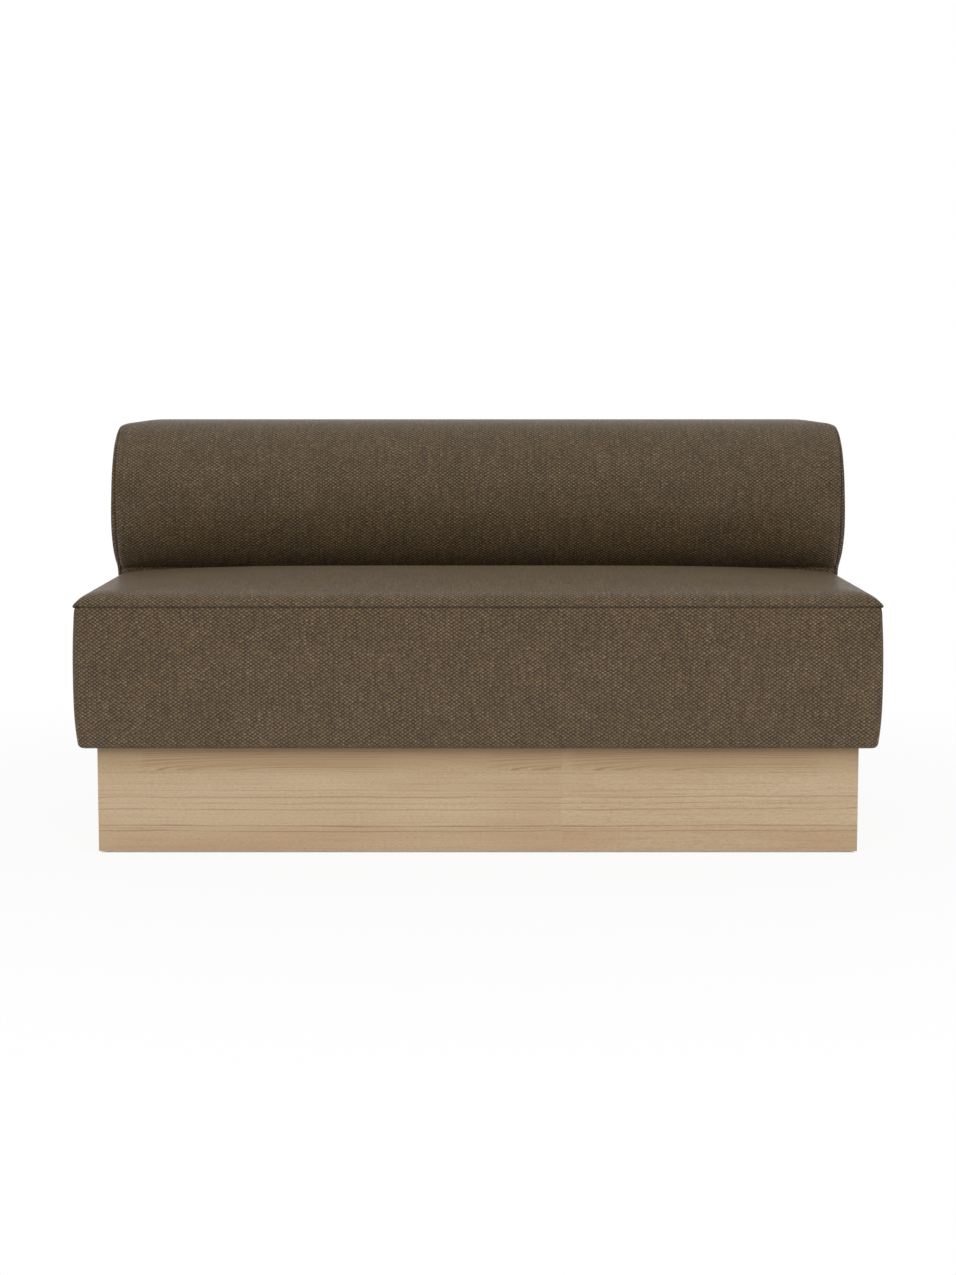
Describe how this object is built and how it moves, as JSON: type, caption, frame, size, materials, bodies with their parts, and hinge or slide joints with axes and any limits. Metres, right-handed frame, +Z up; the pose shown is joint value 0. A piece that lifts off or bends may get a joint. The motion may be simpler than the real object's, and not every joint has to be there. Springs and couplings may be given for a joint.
{
  "type": "dining sofa",
  "caption": "Armless upholstered dining sofa: a boxed seat with a crowned top on a recessed oak plinth, and a low D-section roll back on a neck behind the seat.",
  "frame": {"origin": "middle of the footprint, on the floor under the leveller pads", "axes": "+X along the seat to the right as seen from the front, +Y from the front to the back, +Z up"},
  "size_m": [1.4, 0.67, 0.747],
  "materials": {
    "oak_veneer": "light natural oak veneer with its grain running level, matt lacquer",
    "timber": "planed softwood, bare",
    "plywood": "birch plywood, bare",
    "woven_cloth": "coarse brown melange upholstery weave",
    "foam": "cold-cure foam",
    "wadding": "polyester fibre wrap",
    "felt": "needled felt pad",
    "dust_cloth": "black non-woven cloth",
    "spring_steel": "oiled spring steel",
    "zinc_steel": "bright zinc plate",
    "nylon": "moulded nylon"
  },
  "bodies": {
    "root": {"assembly_bolts": "zinc_steel", "back_base_rail": "timber", "back_foam": "foam", "back_front_rail": "timber", "back_inner_formers": "plywood", "back_left_end_panel": "woven_cloth", "back_left_former": "plywood", "back_left_padding": "foam", "back_mounting_rail": "timber", "back_neck_panel": "plywood", "back_rear_panel": "plywood", "back_right_end_panel": "woven_cloth", "back_right_former": "plywood", "back_right_padding": "foam", "back_roll_skin": "plywood", "back_top_rail": "timber", "back_waist_rail": "timber", "back_wrap_cover": "woven_cloth", "bolt_washers": "zinc_steel", "leveller_inserts": "zinc_steel", "plinth_corner_blocks": "timber", "plinth_cross_rails": "timber", "plinth_front_batten": "timber", "plinth_front_board": "oak_veneer", "plinth_left_board": "oak_veneer", "plinth_middle_batten": "timber", "plinth_middle_rail": "timber", "plinth_rear_batten": "timber", "plinth_rear_board": "oak_veneer", "plinth_right_board": "oak_veneer", "plinth_screws": "zinc_steel", "seat_boxing": "woven_cloth", "seat_dust_cover": "dust_cloth", "seat_foam_core": "foam", "seat_front_base_rail": "timber", "seat_front_padding": "foam", "seat_front_rail": "timber", "seat_glue_blocks": "timber", "seat_left_padding": "foam", "seat_left_rail": "timber", "seat_rear_base_rail": "timber", "seat_rear_rail": "timber", "seat_right_padding": "foam", "seat_right_rail": "timber", "seat_springs": "spring_steel", "seat_stretchers": "timber", "seat_top_panel": "woven_cloth", "seat_wadding": "wadding", "spring_clips": "spring_steel", "spring_felt": "felt", "tee_nuts": "zinc_steel"},
    "leveller_pad_1": {"leveller_pad_1": "nylon"},
    "leveller_stem_1": {"leveller_stem_1": "zinc_steel"},
    "leveller_pad_2": {"leveller_pad_2": "nylon"},
    "leveller_stem_2": {"leveller_stem_2": "zinc_steel"},
    "leveller_pad_3": {"leveller_pad_3": "nylon"},
    "leveller_stem_3": {"leveller_stem_3": "zinc_steel"},
    "leveller_pad_4": {"leveller_pad_4": "nylon"},
    "leveller_stem_4": {"leveller_stem_4": "zinc_steel"}
  },
  "joints": [
    {"name": "leveller_1_height", "type": "slide", "parent": "root", "child": "leveller_pad_1", "axis": [0, 0, -1], "range_m": [-0.003, 0.012]},
    {"name": "leveller_1_turn", "type": "hinge", "parent": "leveller_pad_1", "child": "leveller_stem_1", "pos_m": [-0.6205, -0.2555, 0.0085], "axis": [0, 0, -1], "range_deg": [-720.01, 2880.01]},
    {"name": "leveller_2_height", "type": "slide", "parent": "root", "child": "leveller_pad_2", "axis": [0, 0, -1], "range_m": [-0.003, 0.012]},
    {"name": "leveller_2_turn", "type": "hinge", "parent": "leveller_pad_2", "child": "leveller_stem_2", "pos_m": [0.6205, -0.2555, 0.0085], "axis": [0, 0, -1], "range_deg": [-720.01, 2880.01]},
    {"name": "leveller_3_height", "type": "slide", "parent": "root", "child": "leveller_pad_3", "axis": [0, 0, -1], "range_m": [-0.003, 0.012]},
    {"name": "leveller_3_turn", "type": "hinge", "parent": "leveller_pad_3", "child": "leveller_stem_3", "pos_m": [-0.6205, 0.2555, 0.0085], "axis": [0, 0, -1], "range_deg": [-720.01, 2880.01]},
    {"name": "leveller_4_height", "type": "slide", "parent": "root", "child": "leveller_pad_4", "axis": [0, 0, -1], "range_m": [-0.003, 0.012]},
    {"name": "leveller_4_turn", "type": "hinge", "parent": "leveller_pad_4", "child": "leveller_stem_4", "pos_m": [0.6205, 0.2555, 0.0085], "axis": [0, 0, -1], "range_deg": [-720.01, 2880.01]}
  ],
  "couplings": [
    {"joint": "leveller_1_turn", "follows": "leveller_1_height", "rad_per_m": 4188.8},
    {"joint": "leveller_2_turn", "follows": "leveller_2_height", "rad_per_m": 4188.8},
    {"joint": "leveller_3_turn", "follows": "leveller_3_height", "rad_per_m": 4188.8},
    {"joint": "leveller_4_turn", "follows": "leveller_4_height", "rad_per_m": 4188.8}
  ]
}
